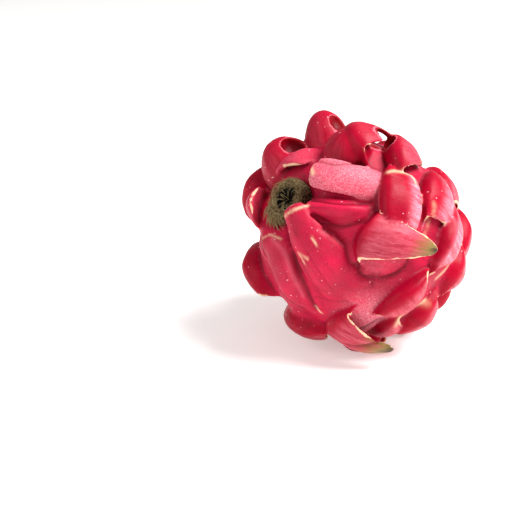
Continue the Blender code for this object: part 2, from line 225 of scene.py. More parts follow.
# How finely each piece is drawn, as faces round it and from pole to pole.
BODY_FACES = (260, 180)
SCALE_FACES = (44, 72)
HOLLOW_FACES = (48, 48)
RING_FACES = (144, 72)
STUB_FACES = (64, 48)
SMOOTH_ROUNDS = 5

# Waves of the whole skin: height in mm and length.
WAVES = ((0.5, 8.333 * MM), (0.12, 2.778 * MM))

# How many rounds of averaging find a broad crease, which gets painted shade, and a sharp ridge, which is
# painted paler, and the depths in mm between which each one grows to its full strength.
CREASE_ROUNDS, CREASE_DEPTHS = 30, (0.15, 1.4)
RIDGE_ROUNDS, RIDGE_HEIGHTS = 5, (0.22, 0.7)
# How strongly the painted shade darkens the creases.
CREASE_SHADE_STRENGTH = 0.8

# The sizes of the patterns in the materials. Real pores and flecks are about half as large, which a pixel of
# the photo wouldn't show.
PATCH_SIZE = 13.333 * MM
FLECK_SIZE = 1.25 * MM
PORE_SIZE = 1.111 * MM
FIBRE_SIZE = 1.4286 * MM
WOOD_SIZE = 2.0 * MM
# Streaks of the skin to a mm across a scale and along it. The third number keeps the scales apart.
STREAKS = (0.7, 0.05, 1.0)


def hex_colour(code):
    """An sRGB hex value as linear red, green, blue and alpha."""
    parts = [int(code[i : i + 2], 16) / 255 for i in (1, 3, 5)]
    return tuple(c / 12.92 if c <= 0.04045 else ((c + 0.055) / 1.055) ** 2.4 for c in parts) + (1.0,)


def colour_property(name, description, code):
    default = hex_colour(code)
    return FloatVectorProperty(
        name=name, description=description, subtype="COLOR", size=4, min=0, max=1, default=default
    )


def length_property(name, description, default):
    return FloatProperty(
        name=name, description=description, default=default, min=0, unit="LENGTH", precision=5
    )


def angle_property(name, description, degrees):
    return FloatProperty(
        name=name, description=description, default=math.radians(degrees), subtype="ANGLE"
    )


class FruitSkinSettings(PropertyGroup):
    """The skin's fineness and colours"""

    voxel: length_property("Mesh fineness", "The cubes that fuse the scales to the body", 0.55 * MM)
    triangles: IntProperty(
        name="Triangles", description="How many triangles the finished skin keeps", default=190000, min=20000
    )
    crimson: colour_property("Crimson", "The smooth face of a scale that looks at the navel", "#A80026")
    rose: colour_property("Rose", "The outer skin between and behind the scales", "#C2063A")
    shade: colour_property("Shade", "The skin's darker patches", "#84021E")
    # This colour also paints the ridges and raised lines paler, partly as bloom and partly as a painted
    # highlight.
    pale: colour_property("Bloom", "The whitish pink haze on the outer skin", "#EE8A9C")
    frost: colour_property("Frost", "The specks in the bloom", "#F3CBD2")
    # Painted shade: this colour darkens the bottoms of the creases, where shade falls.
    crease_shade_colour: colour_property("Wine", "The bottoms of the creases", "#5C0212")
    # Painted shade: a saturated red darkened for the shade inside a curled scale's hollow.
    recess_shade: colour_property("Hollow", "The inside of a curled scale", "#860010")
    rim: colour_property("Rim", "The dry edge of a scale", "#EFC7A2")
    green: colour_property("Green", "The tip of a scale", "#7A6536")
    brown: colour_property("Brown", "The dried point of a scale", "#3D2916")
    # Real specks stand about 0.3 mm apart, finer than a pixel of the photo, so these are drawn coarser.
    speckle: length_property("Speckle", "The distance between the bloom's specks", 0.65 * MM)


class FruitFlowerSettings(PropertyGroup):
    """The withered flower's fibres and colours"""

    strands: IntProperty(name="Fibres", description="How many dry fibres the flower has", default=900, min=0)
    thickness: length_property("Fibre thickness", "A fibre's thickness at its root", 0.36 * MM)
    olive: colour_property("Olive", "The fibres", "#6B5433")
    # Painted shade: this colour darkens the ring under the fibres and the bottom of the cup, where shade
    # falls.
    dark: colour_property("Dark", "The bottom of the cup", "#15110A")
    straw: colour_property("Straw", "The palest fibres", "#A8946A")


class FruitStubSettings(PropertyGroup):
    """The stem stub's colours"""

    bark: colour_property("Bark", "The side of the stub", "#6F6A36")
    cut: colour_property("Cut", "The stub's dried end", "#B29C66")


class FruitStageSettings(PropertyGroup):
    """The floor's colour and the camera's place"""

    floor: colour_property("Floor", "The floor", "#F4F3F1")
    distance: length_property("Camera distance", "From the camera to the fruit's middle", 0.62)
    azimuth: angle_property("Azimuth", "The camera's angle round the fruit", -37.9)
    elevation: angle_property("Elevation", "The camera's angle above the floor", 20.0)


# Shape


def unit(v):
    return v / np.linalg.norm(v, axis=-1, keepdims=True)


def smooth_step(low, high, x):
    t = np.clip((x - low) / (high - low), 0, 1)
    return t * t * (3 - 2 * t)


def way(polar, azimuth):
    """The direction from the fruit's middle to a place on it, in degrees."""
    a, b = np.radians(polar), np.radians(azimuth)
    return np.cos(a) * NAVEL_WAY + np.sin(a) * (np.cos(b) * TOP_WAY + np.sin(b) * SIDE_WAY)


def around(angle):
    """The direction square to the fruit's axis at an angle round it."""
    return np.cos(angle)[:, None] * TOP_WAY + np.sin(angle)[:, None] * SIDE_WAY


def plain_radius(ways):
    along = ways @ NAVEL_WAY
    across = np.sqrt(np.maximum(0.0, 1.0 - along**2))
    return 1.0 / np.sqrt((along / HALF_LENGTH) ** 2 + (across / HALF_WIDTH) ** 2)


def axes_of(scale):
    """The scale's own directions: out of the skin, forwards to the navel, and sideways."""
    out = way(scale.polar, scale.azimuth)
    to_navel = unit(NAVEL_WAY - (NAVEL_WAY @ out) * out)
    side = np.cross(out, to_navel)
    t = math.radians(scale.turn)
    forward = math.cos(t) * to_navel + math.sin(t) * side
    return out, forward, np.cross(out, forward)


def on_skin(scale, x, y, height):
    """Points at x forwards and y sideways along the skin from the scale's front, and at a height over it."""
    out, forward, side = axes_of(scale)
    r = np.hypot(x, y) + 1e-9
    angle = r / (MEAN_RADIUS + np.maximum(height, 0))
    flat = (x / r)[..., None] * forward + (y / r)[..., None] * side
    ways = np.cos(angle)[..., None] * out + np.sin(angle)[..., None] * flat
    return ways * (plain_radius(ways) + height)[..., None]


def curve_through(points, t):
    """A smooth curve through the points, with t from 0 at the first to 1 at the last."""
    p = np.array(points, float)
    p = np.vstack([2 * p[0] - p[1], p, 2 * p[-1] - p[-2]])
    s = np.clip(t, 0, 1) * (len(p) - 3)
    i = np.minimum(s.astype(int), len(p) - 4)
    f = (s - i)[..., None]
    a, b, c, d = p[i], p[i + 1], p[i + 2], p[i + 3]
    return 0.5 * (2 * b + (c - a) * f + (2 * a - 5 * b + 4 * c - d) * f**2 + (3 * b - a - 3 * c + d) * f**3)


def spine_of(scale):
    """The scale's middle line from its root to its tip, as (forwards, height) in mm."""
    rise, foot, reach = scale.rise, scale.foot, scale.reach
    if scale.kind == "plate":
        return (
            (-foot - 8, -9),
            (-foot, -4),
            (-0.7 * foot, 0.30 * rise),
            (-0.4 * foot, 0.72 * rise),
            (-0.15 * foot, 0.95 * rise),
            (0, rise),
        )
    return (
        (-foot - 6, -9),
        (-foot, -4),
        (-0.45 * foot, 0.10 * rise),
        (-0.06 * foot, 0.42 * rise),
        (-0.02 * foot, 0.78 * rise),
        (-0.32 * rise, rise),
        (-0.5 * (reach + 0.3 * rise), 0.45 * rise + 0.5 * scale.tip + 2),
        (-reach, scale.tip),
    )


def half_width(scale, along):
    if scale.kind == "plate":
        middle = 0.5 * (scale.base + scale.width)
        end = (scale.width, 0.94 * scale.width, 0.75 * scale.width, 0)
        widths = (scale.base, 0.97 * scale.base, middle, *end)
        return np.interp(along, (0, 0.25, 0.5, 0.8, 0.93, 0.985, 1), widths)
    steps = (0, 0.25, 0.42, 0.6, 0.75, 0.9, 0.97, 1)
    pointed = np.interp(along, steps, (1.6, 1.6, 1.25, 1.05, 0.9, 0.55, 0.25, 0))
    blunt = np.interp(along, steps, (1.6, 1.6, 1.3, 1.1, 1.05, 0.95, 0.75, 0))
    return scale.width * (pointed + scale.square * (blunt - pointed))


def reading_of(ball):
    """Where a ball's points lie: their share of the way up from the lower pole, across, and to which side."""
    along = 1 - np.arccos(np.clip(ball[:, 2], -1, 1)) / math.pi
    ring = np.hypot(ball[:, 0], ball[:, 1])
    live = ring > 1e-5
    across = np.where(live, ball[:, 0] / np.maximum(ring, 1e-9), 0)
    side = np.where(live, ball[:, 1] / np.maximum(ring, 1e-9), 0)
    return along, across, side


def scale_point(scale, ball):
    """Points of a scale for points of a unit ball: +Z is its tip, X is sideways and +Y looks at the navel."""
    along, across, side = reading_of(ball)
    if scale.kind == "knob":
        ridge_bloom_and_highlight = 0.5 * (1 + ball[:, 2])
        spread = 1 + 0.25 * (1 - ridge_bloom_and_highlight) ** 2
        x = scale.reach * ball[:, 1] * spread - 0.15 * scale.rise * ridge_bloom_and_highlight
        y = scale.width * ball[:, 0] * spread
        return on_skin(scale, x * MM, y * MM, (-ROOT_DEPTH + (scale.rise + ROOT_DEPTH) * ridge_bloom_and_highlight) * MM)
    middle = curve_through(spine_of(scale), along)
    slope = unit(curve_through(spine_of(scale), along + 0.01) - curve_through(spine_of(scale), along - 0.01))
    face = np.stack([slope[..., 1], -slope[..., 0]], axis=-1)
    width = half_width(scale, along)
    if scale.kind == "plate":
        thick = np.interp(along, (0, 0.5, 0.8, 1), (9, 7, 4, 2.4))
        droop = scale.droop * np.interp(along, (0, 0.5, 1), (2.2, 1.8, 1))
        back = np.zeros_like(along)
    else:
        thick = np.interp(along, (0, 0.3, 0.55, 0.8, 1), (10, 8, 4.5, 3.0, 1.8))
        droops = (0.5, 0.5, scale.bow + 0.1, scale.bow, scale.droop, 0.5 * scale.droop)
        droop = np.interp(along, (0, 0.3, 0.5, 0.62, 0.75, 1), droops)
        back = np.interp(along, (0, 0.3, 0.45, 0.6, 0.7, 0.8, 1), (0, 0.3, 0.9, 1.0, 0.75, 0.3, 0.1))
    rim = RIM_THICK + (thick - RIM_THICK) * (1 - np.abs(across) ** 2.5)
    depth = np.sign(side) * np.abs(side) ** 0.5 * 0.5 * rim
    fall = droop * width * np.abs(across) ** 2
    y = width * across + scale.bend * (middle[..., 0] / max(scale.foot, 1)) ** 2
    x = middle[..., 0] + face[..., 0] * depth - fall * back + scale.skew * width * across
    height = middle[..., 1] + face[..., 1] * depth - fall * np.sqrt(1 - back**2)
    return on_skin(scale, x * MM, y * MM, height * MM)


def pillows(ways):
    """How far the skin swells under each scale. Neighbours meet in creases."""
    total = np.zeros(len(ways))
    spots = []
    for polar, azimuth, across, height, _ in SWELLINGS:
        spots.append((way(polar, azimuth), SIDE_WAY, across, across, height))
    for scale in SCALES:
        out, forward, side = axes_of(scale)
        behind = 0.6 * scale.foot * MM / MEAN_RADIUS
        middle = math.cos(behind) * out - math.sin(behind) * forward
        height = 4.0 if scale.kind == "plate" else 6.0
        spots.append((middle, side, 0.8 * scale.foot + 2, 1.2 * scale.width, height))
    for middle, side, length, breadth, height in spots:
        x = MEAN_RADIUS * (ways @ unit(np.cross(side, middle)))
        y = MEAN_RADIUS * (ways @ side)
        near = np.where(ways @ middle > 0, height, 0.0)
        swell = near * np.exp(-((x / (length * MM)) ** 2) - (y / (breadth * MM)) ** 2)
        total = total + swell**SHARPNESS
    return total ** (1 / SHARPNESS) * MM


def body_radius(ways):
    """The skin's distance from the middle, with its swellings, the navel's pit and the stem's dimple."""
    radius = plain_radius(ways) + pillows(ways)
    for pole, reach, depth in (
        (NAVEL_WAY, PIT_RADIUS, PIT_DEPTH),
        (-NAVEL_WAY, DIMPLE_RADIUS, DIMPLE_DEPTH),
    ):
        away = MEAN_RADIUS * np.arccos(np.clip(ways @ pole, -1, 1))
        radius = radius - depth / (1 + (away / reach) ** 6)
    return radius


def place_of(polar, azimuth, height):
    out = way(polar, azimuth)
    return out * (plain_radius(out[None])[0] + height * MM)


def hollow_point(ends, breadth, ball):
    """Points of an egg-shaped hollow between its ends, for points of a unit ball."""
    first, last = place_of(*ends[0]), place_of(*ends[1])
    middle, half = (first + last) / 2, (last - first) / 2
    along = unit(half)
    out = unit(middle - (middle @ along) * along)
    across = np.cross(along, out)
    wide = breadth * MM
    return middle + ball[:, 2:3] * half + wide * (ball[:, 0:1] * out + ball[:, 1:2] * across)


# Blender helpers


def deselect():
    bpy.ops.object.select_all(action="DESELECT")


def points_of(obj):
    co = np.empty(len(obj.data.vertices) * 3)
    obj.data.vertices.foreach_get("co", co)
    return co.reshape(-1, 3)


def place_points(obj, points):
    obj.data.vertices.foreach_set("co", np.asarray(points, float).ravel())
    obj.data.update()


def add_ball(name, faces):
    """A unit ball whose pole is +Z, with its faces round and from pole to pole, and its points."""
    deselect()
    columns, rows = faces
    bpy.ops.mesh.primitive_uv_sphere_add(segments=columns, ring_count=rows, radius=1, location=(0, 0, 0))
    obj = bpy.context.object
    obj.name = name
    return obj, points_of(obj)


def pick(obj):
    """Selects the object alone and makes it the active one."""
    deselect()
    obj.select_set(True)
    bpy.context.view_layer.objects.active = obj


def apply(obj, kind, **settings):
    """Adds a modifier with its settings and applies it."""
    pick(obj)
    modifier = obj.modifiers.new(kind.lower(), kind)
    for key, value in settings.items():
        setattr(modifier, key, value)
    bpy.ops.object.modifier_apply(modifier=modifier.name)


def join(objects):
    deselect()
    for obj in objects:
        obj.select_set(True)
    bpy.context.view_layer.objects.active = objects[0]
    bpy.ops.object.join()
    return objects[0]


def face_outwards(obj):
    """Turns the faces to point out, for a ball whose shaping turned it inside out."""
    bm = bmesh.new()
    bm.from_mesh(obj.data)
    if bm.calc_volume(signed=True) < 0:
        bmesh.ops.reverse_faces(bm, faces=bm.faces)
        bm.to_mesh(obj.data)
    bm.free()


def set_attribute(obj, name, values):
    values = np.asarray(values, float)
    kind = "FLOAT_VECTOR" if values.ndim == 2 else "FLOAT"
    attribute = obj.data.attributes.new(name, kind, "POINT")
    attribute.data.foreach_set("vector" if values.ndim == 2 else "value", values.ravel())


def finish_piece(obj, material, node):
    obj.data.materials.clear()
    obj.data.materials.append(material)
    pick(obj)
    bpy.ops.object.shade_smooth()
    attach(obj, "root")
    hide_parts(node)


def new_material(name):
    material = bpy.data.materials.new(name)
    material.use_nodes = True
    tree = material.node_tree
    return material, tree, tree.nodes["Principled BSDF"]


def add(tree, kind, inputs=None, output=0, **settings):
    """Adds a node and gives one of its outputs. inputs has sockets' values, or outputs that feed them."""
    node = tree.nodes.new("ShaderNode" + kind)
    for key, value in settings.items():
        setattr(node, key, value)
    for key, value in (inputs or {}).items():
        if isinstance(value, bpy.types.NodeSocket):
            tree.links.new(value, node.inputs[key])
        else:
            node.inputs[key].default_value = value
    return node.outputs[output]


# Skin

MARKS = ("inner", "edge", "tip", "bloom", "flap", "hollow")
# Farther than any mark reaches, in mm or in its own measure.
FAR = 9.0
# How many points around it give a point of the skin its marks, and within how far they blend.
NEAREST = 4
BLEND = 0.2 * MM


def scale_marks(scale, ball):
    """What the finish needs at each point of a scale: whether it is the face that looks at the navel, how far
    the edge and the tip are, and how much bloom, striped flap and hollow there is."""
    along, across, side = reading_of(ball)
    count = len(along)
    far = np.full(count, FAR)
    zero = np.zeros(count)
    bloom = np.full(count, scale.bloom)
    if scale.kind == "knob":
        round_it = 8 * np.arctan2(ball[:, 0], ball[:, 1])
        grain = np.stack([round_it, 16 * ball[:, 2], far * scale.azimuth], axis=1)
        inner = smooth_step(-0.9, -0.2, ball[:, 2])
        flap = 0.08 * smooth_step(0.0, 0.95, ball[:, 1])
        return np.column_stack([inner, far, far, bloom, flap, zero]), grain
    steps = np.linspace(0, 1, 400)
    line = curve_through(spine_of(scale), steps)
    length = np.concatenate([[0], np.cumsum(np.linalg.norm(np.diff(line, axis=0), axis=1))])
    here = np.interp(along, steps, length)
    to_tip = length[-1] - here
    width = half_width(scale, along)
    free = smooth_step(0.85, 0.97, along) if scale.kind == "plate" else smooth_step(0.4, 0.55, along)
    edge = np.minimum((1 - np.abs(across)) * width, to_tip) / scale.dry
    edge = np.minimum(edge + FAR * (1 - free), FAR)
    inner = smooth_step(-0.3, 0.3, side) * smooth_step(0.4, 0.55, along) if scale.kind == "hood" else zero
    start = 0.66 + 0.16 * scale.square
    flap = scale.bloom * smooth_step(start, start + 0.1, along) * inner
    tip = np.minimum(to_tip / scale.green, FAR) if scale.green else far
    grain = np.stack([width * across, here, far * scale.azimuth], axis=1)
    return np.column_stack([inner, edge, tip, bloom, flap, zero]), grain


def body_marks(ways):
    polar = np.arccos(np.clip(ways @ NAVEL_WAY, -1, 1))
    azimuth = np.arctan2(ways @ SIDE_WAY, ways @ TOP_WAY)
    bloom = np.full(len(ways), 0.04)
    for place, turn, across, _, amount in SWELLINGS:
        away = MEAN_RADIUS * np.arccos(np.clip(ways @ way(place, turn), -1, 1))
        bloom = np.maximum(bloom, amount * np.exp(-((away / (across * MM)) ** 2)))
    zero = np.zeros(len(ways))
    far = np.full(len(ways), FAR)
    radius = MEAN_RADIUS / MM
    grain = np.column_stack([azimuth * radius * np.sin(polar), polar * radius, zero])
    return np.column_stack([zero, far, far, bloom, zero, zero]), grain


def carry_marks(skin, sources):
    """Gives the fused skin the marks and the grain of the pieces that it was fused from."""
    points = np.concatenate([s[0] for s in sources])
    values = np.concatenate([np.column_stack([s[1], s[2]]) for s in sources])
    tree = KDTree(len(points))
    for i, p in enumerate(points):
        tree.insert(p, i)
    tree.balance()
    found = [tree.find_n(p, NEAREST) for p in points_of(skin)]
    index = np.array([[f[1] for f in near] for near in found])
    weight = 1 / (np.array([[f[2] for f in near] for near in found]) + BLEND) ** 2
    weight /= weight.sum(axis=1, keepdims=True)
    result = (values[index] * weight[..., None]).sum(axis=1)
    for i, name in enumerate(MARKS):
        set_attribute(skin, name, result[:, i])
    # Blending the grain of two pieces would smear its streaks, so it is the nearest piece's own.
    set_attribute(skin, "grain", values[index[:, 0], len(MARKS) :])


def away_from(ways, places):
    """How far each direction is along the skin, in mm, from a smooth line through the places."""
    corners = [way(*place) for place in places]
    line = curve_through(corners, np.linspace(0, 1, 6 * len(corners)))
    away = np.full(len(ways), np.inf)
    for first, last in zip(line, line[1:]):
        run = last - first
        share = np.clip((ways - first) @ run / (run @ run), 0, 1)
        away = np.minimum(away, np.linalg.norm(ways - first - share[:, None] * run, axis=1))
    return away * MEAN_RADIUS / MM


def lie_of(obj, points, normals, rounds):
    """How far each point lies under the skin averaged around it, in mm."""
    ends = np.empty(2 * len(obj.data.edges), int)
    obj.data.edges.foreach_get("vertices", ends)
    ends = ends.reshape(-1, 2)
    here, there = np.concatenate([ends, ends[:, ::-1]]).T
    number = np.bincount(here, minlength=len(points))[:, None]
    mean = points
    for _ in range(rounds):
        total = [np.bincount(here, weights=mean[there, i], minlength=len(points)) for i in range(3)]
        mean = np.column_stack(total) / number
    return ((mean - points) * normals).sum(axis=1) / MM


def skin_material(settings):
    """Fruit skin: waxy and softly shining, crimson where a scale was folded in the bud, rose with a whitish
    bloom outside, wine red in the creases as painted shade, darker inside the hollows as painted shade, paler
    along the ridges partly from bloom and partly as a painted highlight, and dry and pale along the edges."""
    material, tree, shader = new_material("waxy_fruit_skin")
    where = add(tree, "TexCoord", output="Object")
    grain = add(tree, "Attribute", output="Vector", attribute_name="grain")
    names = (*MARKS, "crease_shade", "ridge", "scar")
    inner, edge, tip, bloom, flap, hollow, crease_shade, ridge, scar = (
        add(tree, "Attribute", output="Fac", attribute_name=name) for name in names
    )
    fine = add(tree, "TexNoise", {"Vector": where, "Scale": 1 / settings.speckle, "Detail": 1.0})
    cloud = add(tree, "TexNoise", {"Vector": where, "Scale": 1 / PATCH_SIZE, "Detail": 3.0})
    patch = add(tree, "MapRange", {"Value": cloud, "From Min": 0.35, "From Max": 0.65})
    along = add(tree, "Mapping", {"Vector": grain, "Scale": STREAKS})
    streaks = add(tree, "TexNoise", {"Vector": along, "Scale": 1.0, "Detail": 4.0, "Roughness": 0.6})
    stripe = add(tree, "MapRange", {"Value": streaks, "From Min": 0.4, "From Max": 0.66, "To Min": 0.25})

    # The bloom lies on the outside of the scales, as a haze with specks.
    outer = add(tree, "Math", {0: bloom, 1: inner}, operation="SUBTRACT", use_clamp=True)
    dust = add(tree, "Math", {0: outer, 1: patch, 2: outer}, operation="MULTIPLY_ADD")
    haze = add(tree, "Math", {0: dust, 1: 0.25}, operation="MULTIPLY")
    specks = add(tree, "MapRange", {"Value": fine, "From Min": 0.42, "From Max": 0.75, "To Max": 0.34})
    specks = add(tree, "Math", {0: specks, 1: outer}, operation="MULTIPLY")

    # Darker patches, veins, pale flecks, and the pale stripes of a flap that is rolled back.
    dark = add(tree, "Math", {0: patch, 1: 0.55}, operation="MULTIPLY")
    veins = add(tree, "MapRange", {"Value": streaks, "From Min": 0.46, "From Max": 0.36, "To Max": 0.45})
    flecks = add(tree, "TexNoise", {"Vector": where, "Scale": 1 / FLECK_SIZE, "Detail": 0.0})
    flecks = add(tree, "MapRange", {"Value": flecks, "From Min": 0.825, "From Max": 0.86, "To Max": 0.6})
    striped = add(tree, "Math", {0: flap, 1: stripe}, operation="MULTIPLY")
    # Ridges and raised lines painted paler, partly as bloom and partly as a painted highlight.
    ridge_bloom_and_highlight = add(tree, "Math", {0: ridge, 1: 0.4}, operation="MULTIPLY")

    # The tip turns green and dries to brown, the edge dries to cream, and a hollow is pale at its lip.
    ragged = add(tree, "Math", {0: streaks, 1: 0.8, 2: tip}, operation="MULTIPLY_ADD")
    leafy = add(tree, "MapRange", {"Value": ragged, "From Min": 1.25, "From Max": 0.75})
    dry = add(tree, "MapRange", {"Value": ragged, "From Min": 0.75, "From Max": 0.5})
    widths = {"From Min": 0.42, "From Max": 0.6, "To Min": 0.05, "To Max": 1.1}
    band = add(tree, "MapRange", {"Value": cloud, **widths})
    from_edge = add(tree, "Math", {0: edge, 1: band}, operation="DIVIDE")
    rim = add(tree, "MapRange", {"Value": from_edge, "From Min": 1.2, "From Max": 0.6, "To Max": 0.85})
    lip = add(tree, "MapRange", {"Value": hollow, "From Min": 0.01, "From Max": 0.12, "To Max": 0.55})
    # Painted shade inside a hollow, darker than the scale's own crimson.
    hollow_shade = add(tree, "MapRange", {"Value": hollow, "From Min": 0.12, "From Max": 0.45})

    colour = add(tree, "Mix", {0: inner, 6: settings.rose, 7: settings.crimson}, 2, data_type="RGBA")
    layers = (
        (dark, settings.shade),
        (veins, settings.shade),
        (haze, settings.pale),
        (specks, settings.frost),
        (striped, settings.pale),
        # Ridges paler, partly bloom and partly a painted highlight.
        (ridge_bloom_and_highlight, settings.pale),
        (flecks, settings.frost),
        (leafy, settings.green),
        (dry, settings.brown),
        (rim, settings.rim),
        (lip, settings.pale),
        # Painted shade inside the hollows.
        (hollow_shade, settings.recess_shade),
        # Painted shade down in the creases.
        (crease_shade, settings.crease_shade_colour),
        (scar, settings.rim),
    )
    for share, tint in layers:
        colour = add(tree, "Mix", {0: share, 6: colour, 7: tint}, 2, data_type="RGBA")
    tree.links.new(colour, shader.inputs["Base Color"])

    dull = add(tree, "MapRange", {"Value": dust, "To Min": 0.42, "To Max": 0.6})
    tree.links.new(dull, shader.inputs["Roughness"])
    pores = add(tree, "TexNoise", {"Vector": where, "Scale": 1 / PORE_SIZE, "Detail": 3.0})
    relief = add(tree, "Math", {0: pores, 1: streaks}, operation="ADD")
    bump = add(tree, "Bump", {"Height": relief, "Strength": 0.35, "Distance": 0.3 * MM})
    tree.links.new(bump, shader.inputs["Normal"])
    for name, value in (
        ("Specular IOR Level", 0.12),
        ("Subsurface Weight", 0.12),
        ("Subsurface Radius", (1.0, 0.15, 0.2)),
        ("Subsurface Scale", 2.0 * MM),
        ("Sheen Weight", 0.01),
        ("Sheen Roughness", 0.45),
        ("Sheen Tint", settings.pale),
    ):
        shader.inputs[name].default_value = value
    return material


class FRUIT_OT_skin(Operator):
    """Builds the fruit's skin with its scales"""

    bl_idname = "fruit.skin"
    bl_label = "Skin and scales"

    def execute(self, context):
        settings = context.scene.fruit_skin
        body, ball = add_ball("fruit_skin", BODY_FACES)
        ways = unit(ball[:, 2:3] * NAVEL_WAY + ball[:, 0:1] * TOP_WAY + ball[:, 1:2] * SIDE_WAY)
        points = ways * body_radius(ways)[:, None]
        place_points(body, points)
        sources = [(points, *body_marks(ways))]
        pieces = [body]
        for scale in SCALES:
            piece, ball = add_ball("scale", SCALE_FACES)
            points = scale_point(scale, ball)
            place_points(piece, points)
            sources.append((points, *scale_marks(scale, ball)))
            pieces.append(piece)
        skin = join(pieces)
        voxel = settings.voxel * 1
        apply(skin, "REMESH", mode="VOXEL", voxel_size=voxel)

        cutters = []
        for first, last, breadth in HOLLOWS:
            cutter, ball = add_ball("hollow", HOLLOW_FACES)
            points = hollow_point((first, last), breadth, ball)
            place_points(cutter, points)
            face_outwards(cutter)
            cutters.append(cutter)
            marks = np.tile((1.0, FAR, FAR, 0.0, 0.0, 1.0), (len(points), 1))
            sources.append((points, marks, 16 * ball))
        for cutter in cutters:
            apply(skin, "BOOLEAN", operation="DIFFERENCE", object=cutter, solver="MANIFOLD")
            bpy.data.objects.remove(cutter)
        apply(skin, "REMESH", mode="VOXEL", voxel_size=voxel)
        apply(skin, "SMOOTH", factor=0.5, iterations=SMOOTH_ROUNDS)
        count = sum(len(p.vertices) - 2 for p in skin.data.polygons)
        apply(skin, "DECIMATE", ratio=min(1.0, settings.triangles / count))
        carry_marks(skin, sources)

        points = points_of(skin)
        normals = np.array([v.normal for v in skin.data.vertices])
        ways = unit(points)
        # Painted shade darkens the concave creases, and the convex ridges are painted paler, partly as bloom
        # and partly as a painted highlight.
        crease_shade = smooth_step(*CREASE_DEPTHS, lie_of(skin, points, normals, CREASE_ROUNDS))
        ridge = smooth_step(*RIDGE_HEIGHTS, -lie_of(skin, points, normals, RIDGE_ROUNDS))
        sunk = np.zeros(len(points))
        for depth, breadth, places in CREASES:
            line = np.exp(-((away_from(ways, places) / breadth) ** 2))
            sunk = sunk + depth * line
            crease_shade = np.maximum(crease_shade, min(max(depth, 0), 1.2) / 1.2 * line**2)
            ridge = np.maximum(ridge, min(max(-depth, 0), 1) * line)
        scar = np.zeros(len(points))
        for breadth, amount, places in SCARS:
            scar = np.maximum(scar, amount * np.exp(-((away_from(ways, places) / breadth) ** 2)))
        set_attribute(skin, "crease_shade", CREASE_SHADE_STRENGTH * crease_shade)
        set_attribute(skin, "ridge", ridge)
        set_attribute(skin, "scar", scar)
        waves = np.array([sum(high * noise.noise(Vector(p) / long) for high, long in WAVES) for p in points])
        points = points + normals * ((waves - sunk) * MM)[:, None] + MIDDLE
        points[:, 2] = np.maximum(points[:, 2], 0)
        place_points(skin, points)
        finish_piece(skin, skin_material(settings), "fruit")
        return {"FINISHED"}


# Withered flower


def turned(name, profile, pole, faces, ripple):
    """A round body turned about the fruit's axis at one of its ends."""
    obj, ball = add_ball(name, faces)
    along, _, _ = reading_of(ball)
    angle = np.arctan2(ball[:, 1], ball[:, 0])
    ring = np.clip(np.hypot(ball[:, 0], ball[:, 1]) * 20, 0, 1)
    middle = curve_through(profile, along)
    wave = 1 + ripple * (np.sin(3 * angle + 1) + 0.6 * np.sin(7 * angle))
    r = ring * np.maximum(middle[:, 0], 0) * wave * MM
    height = HALF_LENGTH + middle[:, 1] * MM
    return obj, r[:, None] * around(angle) + height[:, None] * pole, angle, along, middle


def around_navel(radius, angle, height):
    """Places round the fruit's axis at the navel's end, with radius and height over the skin in mm."""
    return (radius * MM)[:, None] * around(angle) + (HALF_LENGTH + height * MM)[:, None] * NAVEL_WAY


def ring_fibre(rng, t):
    """A short fibre of the withered ring, leaning outwards and aside."""
    start = rng.uniform(6.3, 9.8)
    radius = start + rng.uniform(-1.2, 2.6) * t
    on_ring = 0.8 + 1.8 * math.cos((start - 8.0) / 2.4)
    height = on_ring + rng.uniform(0.3, 2.8) * t + rng.uniform(-1, 1) * np.sin(math.pi * t)
    angle = rng.uniform(0, 2 * math.pi) + rng.normal(0, 0.4) * t * (0.4 + 0.6 * t)
    return around_navel(radius, angle, height)


def wall_fibre(rng, t):
    """A fibre that runs up the outside of the withered ring."""
    radius = rng.uniform(9.8, 10.5) + rng.uniform(-0.8, 1.0) * t
    height = rng.uniform(-6.0, 0.5) + rng.uniform(2.0, 5.0) * t
    angle = rng.uniform(0, 2 * math.pi) + rng.normal(0, 0.2) * t
    return around_navel(radius, angle, height)


def cup_fibre(rng, t):
    """A long pale fibre that leans in over the dark cup."""
    start = rng.uniform(5.5, 7.5)
    radius = start - rng.uniform(3.0, 7.0) * t
    height = 2.2 + rng.uniform(-3.0, 0.8) * t + rng.uniform(0, 1.5) * np.sin(math.pi * t)
    angle = rng.uniform(0, 2 * math.pi) + rng.normal(0, 0.25) * t
    return around_navel(radius, angle, height)


def tuft_fibre(rng, t):
    """A fibre of the tuft that has come loose from the ring and hangs down over the skin."""
    start = rng.uniform(6.5, 9.5)
    radius = start + rng.uniform(3.0, 8.0) * t
    height = 2.5 + rng.uniform(0.5, 2.5) * np.sin(math.pi * t) - rng.uniform(0, 1.5) * t
    angle = math.radians(rng.uniform(125, 195)) + rng.uniform(0.0, 0.5) * t
    return around_navel(radius, angle, height)


def add_fibres(name, shape, count, thickness, pale, seed):
    """Tapered fibres, each a curve with a round bevel, turned into one mesh."""
    rng = np.random.default_rng(seed)
    steps = np.linspace(0, 1, 7)
    curve = bpy.data.curves.new(name, "CURVE")
    curve.dimensions = "3D"
    curve.bevel_depth = 0.5 * thickness
    curve.bevel_resolution = 1
    curve.use_fill_caps = True
    for _ in range(count):
        line = shape(rng, steps) + MIDDLE
        spline = curve.splines.new("POLY")
        spline.points.add(len(steps) - 1)
        spline.points.foreach_set("co", np.column_stack([line, np.ones(len(steps))]).ravel())
        spline.points.foreach_set("radius", rng.uniform(0.6, 1.3) * (1 - 0.75 * steps))
    obj = bpy.data.objects.new(name, curve)
    bpy.context.scene.collection.objects.link(obj)
    pick(obj)
    bpy.ops.object.convert(target="MESH")
    obj = bpy.context.object
    set_attribute(obj, "pale", np.full(len(obj.data.vertices), pale))
    set_attribute(obj, "recess_shade", np.zeros(len(obj.data.vertices)))
    return obj


